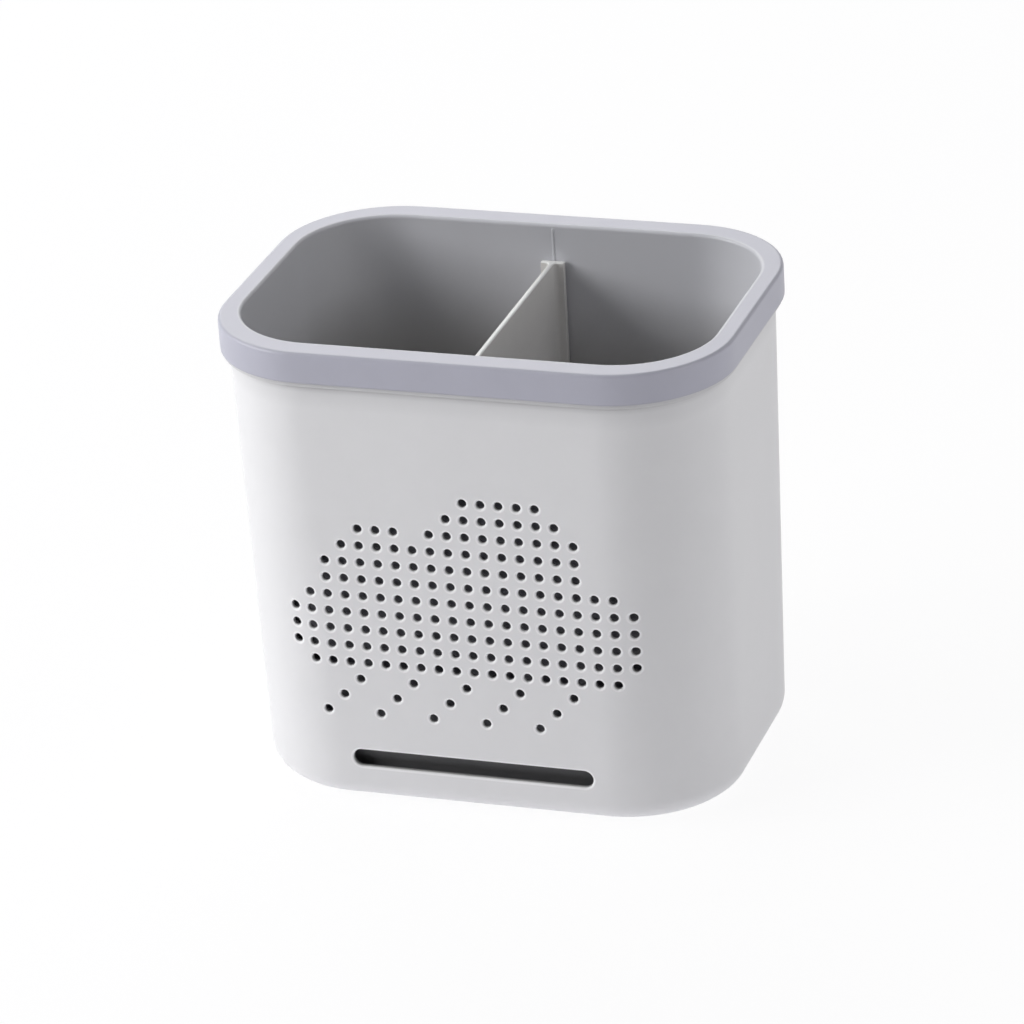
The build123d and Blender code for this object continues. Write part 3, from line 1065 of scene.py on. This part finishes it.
class HOLDER_OT_tray(bpy.types.Operator):
    """Add the loose drip tray on the shell's floor"""

    bl_idname = "holder.tray"
    bl_label = "Drip tray"

    def execute(self, context):
        tray = context.scene.holder_tray
        shell = context.scene.holder_shell
        wall = shell_wall(shell)
        inset = shell.wall + tray.gap
        low, high, thick = tray_low.z, tray_high.z, tray.wall
        low_levels, low_insets = foot_round(wall, low, tray.base_round, steps=8)
        high_levels, high_insets = foot_round(wall, low + thick, tray.base_round - thick, steps=6)
        edge = tray.edge_round
        turn, back = quarter_turn(steps=4)
        skin = Skin()

        def ring(level, inset):
            return skin.add(rings(level, outline(level, wall, inset), LINER_STEPS))

        rows = [
            *ring(np.full(1, low), low_insets[0] + inset + 2 * BESIDE),
            *ring(low_levels, low_insets + inset),
            *ring(np.array([low_levels[-1] + 2 * BESIDE, high - edge - BESIDE]), inset),
            *ring(high - edge * (1 - turn), inset + edge * back),
            *ring(high - edge * back, inset + thick - edge * (1 - turn)),
            *ring(np.array([high - edge - BESIDE, high_levels[-1] + 2 * BESIDE]), inset + thick),
            *ring(high_levels[::-1], high_insets[::-1] + inset + thick),
            *ring(np.full(1, low + thick), high_insets[0] + inset + thick + 2 * BESIDE),
        ]
        skin.solid(rows)
        finish = moulded(
            "Charcoal plastic", tray.colour, roughness=0.38, grain=0.5 * MM,
            grain_height=0.005 * MM, mottle=0.03,
        )
        skin.build("drip_tray_dish", "tray", "tray_charcoal", finish, "drip_tray")
        return {"FINISHED"}


class HOLDER_OT_pads(bpy.types.Operator):
    """Add the four rubber pads that the holder stands on"""

    bl_idname = "holder.pads"
    bl_label = "Foot pads"

    def execute(self, context):
        pads = context.scene.holder_pads
        finish = moulded(
            "Grey rubber", pads.colour, roughness=0.75, grain=0.25 * MM,
            grain_height=0.01 * MM, mottle=0.03,
        )
        turn, back = quarter_turn(steps=3)
        around = circle(1.0, PAD_STEPS)
        for node in sorted(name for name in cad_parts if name.startswith("foot_pad")):
            low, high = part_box(node)
            radius = (high.x - low.x) / 2
            reach = np.concatenate([[radius - 2 * pads.edge], radius - pads.edge * (1 - turn), [radius]])
            level = np.concatenate([[low.z], low.z + pads.edge * back, [high.z]])
            points = np.empty((len(level), PAD_STEPS, 3))
            points[..., 0] = (low.x + high.x) / 2 + reach[:, None] * around[:, 0]
            points[..., 1] = (low.y + high.y) / 2 + reach[:, None] * around[:, 1]
            points[..., 2] = level[:, None]
            skin = Skin()
            skin.solid(skin.add(points))
            skin.build(node.removeprefix("foot_"), "shell", "pad_rubber", finish, node)
        return {"FINISHED"}


# ------------------------------------------------------------------------------------- studio

FOCUS = Vector((-1.13 * MM, -0.41 * MM, 67.72 * MM))  # what the camera looks at
SENSOR_WIDTH = 36.0  # of the camera, in millimetres
CLIP_START, CLIP_END = 0.05, 20.0  # nearest and farthest that the camera sees
FLOOR_REACH = 3.0  # from the middle of the floor to its edges
FLOOR_LEVEL = -0.02 * MM  # just under the pads
LAMP_DISTANCE = 1.4  # from the lamps to what the camera looks at

# Each lamp: name, azimuth from the front towards the right, elevation, width and power in watts
LAMPS = (
    ("left_softbox", -80.0, 25.0, 0.7, 5.6),
    ("front_left_softbox", -55.0, 25.0, 0.7, 8.4),
    ("rear_left_softbox", -154.0, 34.0, 0.9, 6.6),
    ("top_softbox", -60.0, 75.0, 0.9, 2.8),
    ("low_right_fill", 80.0, 5.0, 0.7, 2.4),
    ("right_fill", 80.0, 25.0, 0.7, 1.9),
    ("high_right_fill", 110.0, 50.0, 0.7, 1.6),
)


def direction(azimuth, elevation):
    """Unit vector towards a place seen from the object: azimuth from the front to the right."""
    return Vector((
        math.sin(azimuth) * math.cos(elevation),
        -math.cos(azimuth) * math.cos(elevation),
        math.sin(elevation),
    ))


def seen(tree):
    """1 for a ray from the camera, by itself or by way of a reflection or a clear piece, else 0."""
    path = add_node(tree, "ShaderNodeLightPath")
    return path["Is Camera Ray"] + path["Is Glossy Ray"] + path["Is Transmission Ray"]


def floor_material(stage):
    """A pale floor that takes shadows and glows a little, and that the camera sees as near white."""
    material, tree = new_tree("Pale floor")
    diffuse = add_node(tree, "ShaderNodeBsdfDiffuse", None, {"Color": rgba(stage.floor_colour)})
    light = {"Color": rgba(stage.glow_colour), "Strength": stage.floor_glow}
    glow = add_node(tree, "ShaderNodeEmission", None, light)
    lit = add_node(tree, "ShaderNodeAddShader", None, {0: diffuse["BSDF"], 1: glow["Emission"]})
    white = add_node(tree, "ShaderNodeEmission", None, {"Strength": 1.0})
    shaders = {0: seen(tree) * stage.floor_white, 1: lit["Shader"], 2: white["Emission"]}
    mixed = add_node(tree, "ShaderNodeMixShader", None, shaders)
    add_node(tree, "ShaderNodeOutputMaterial", None, {"Surface": mixed["Shader"]})
    return material


class HOLDER_OT_stage(bpy.types.Operator):
    """Add the floor, the lamps, the white surroundings and the camera"""

    bl_idname = "holder.stage"
    bl_label = "Studio"

    def execute(self, context):
        stage = context.scene.holder_stage
        scene = context.scene
        scene.view_settings.view_transform = "Standard"

        mesh = bpy.data.meshes.new("floor")
        corners = [
            (x * FLOOR_REACH, y * FLOOR_REACH, FLOOR_LEVEL) for x, y in ((-1, -1), (1, -1), (1, 1), (-1, 1))
        ]
        mesh.from_pydata(corners, [], [(0, 1, 2, 3)])
        mesh.materials.append(floor_material(stage))
        floor = bpy.data.objects.new("floor", mesh)
        scene.collection.objects.link(floor)

        for name, azimuth, elevation, width, power in LAMPS:
            data = bpy.data.lights.new(name, "AREA")
            data.size, data.energy = width, power
            lamp = bpy.data.objects.new(name, data)
            towards = direction(math.radians(azimuth), math.radians(elevation))
            lamp.location = FOCUS + LAMP_DISTANCE * towards
            lamp.rotation_euler = towards.to_track_quat("Z", "Y").to_euler()
            scene.collection.objects.link(lamp)

        world = bpy.data.worlds.new("White surroundings")
        scene.world = world
        world.use_nodes = True
        tree = world.node_tree
        tree.nodes.clear()
        sky = {"Color": rgba((1.0, 1.0, 1.0)), "Strength": seen(tree)}
        background = add_node(tree, "ShaderNodeBackground", None, sky)
        add_node(tree, "ShaderNodeOutputWorld", None, {"Surface": background["Background"]})

        data = bpy.data.cameras.new("camera")
        data.lens, data.sensor_width = stage.lens, SENSOR_WIDTH
        data.clip_start, data.clip_end = CLIP_START, CLIP_END
        camera = bpy.data.objects.new("camera", data)
        camera.location = FOCUS + stage.distance * direction(stage.azimuth, stage.elevation)
        turn = Euler((math.pi / 2 - stage.elevation, 0.0, stage.azimuth)).to_matrix()
        camera.rotation_euler = (turn @ Euler((0.0, 0.0, stage.roll)).to_matrix()).to_euler()
        scene.collection.objects.link(camera)
        scene.camera = camera
        return {"FINISHED"}


class HOLDER_PT_pieces(bpy.types.Panel):
    """Buttons that add the holder's pieces and the studio"""

    bl_label = "Chopstick holder"
    bl_idname = "HOLDER_PT_pieces"
    bl_space_type = "VIEW_3D"
    bl_region_type = "UI"
    bl_category = "Holder"

    def draw(self, context):
        for operator in OPERATORS:
            self.layout.operator(operator.bl_idname)


OPERATORS = (
    HOLDER_OT_shell,
    HOLDER_OT_liner,
    HOLDER_OT_divider,
    HOLDER_OT_tray,
    HOLDER_OT_pads,
    HOLDER_OT_stage,
)


def register():
    """Register the settings, the operators and the panel."""
    for name, group in SETTINGS.items():
        bpy.utils.register_class(group)
        setattr(bpy.types.Scene, name, bpy.props.PointerProperty(type=group))
    for kind in (*OPERATORS, HOLDER_PT_pieces):
        bpy.utils.register_class(kind)


def unregister():
    """Take them all out again."""
    for kind in (HOLDER_PT_pieces, *reversed(OPERATORS)):
        bpy.utils.unregister_class(kind)
    for name, group in SETTINGS.items():
        delattr(bpy.types.Scene, name)
        bpy.utils.unregister_class(group)


def main():
    """Build every piece and the studio."""
    register()
    bpy.ops.holder.shell()
    bpy.ops.holder.liner()
    bpy.ops.holder.divider()
    bpy.ops.holder.tray()
    bpy.ops.holder.pads()
    bpy.ops.holder.stage()


if __name__ == "__main__":
    main()
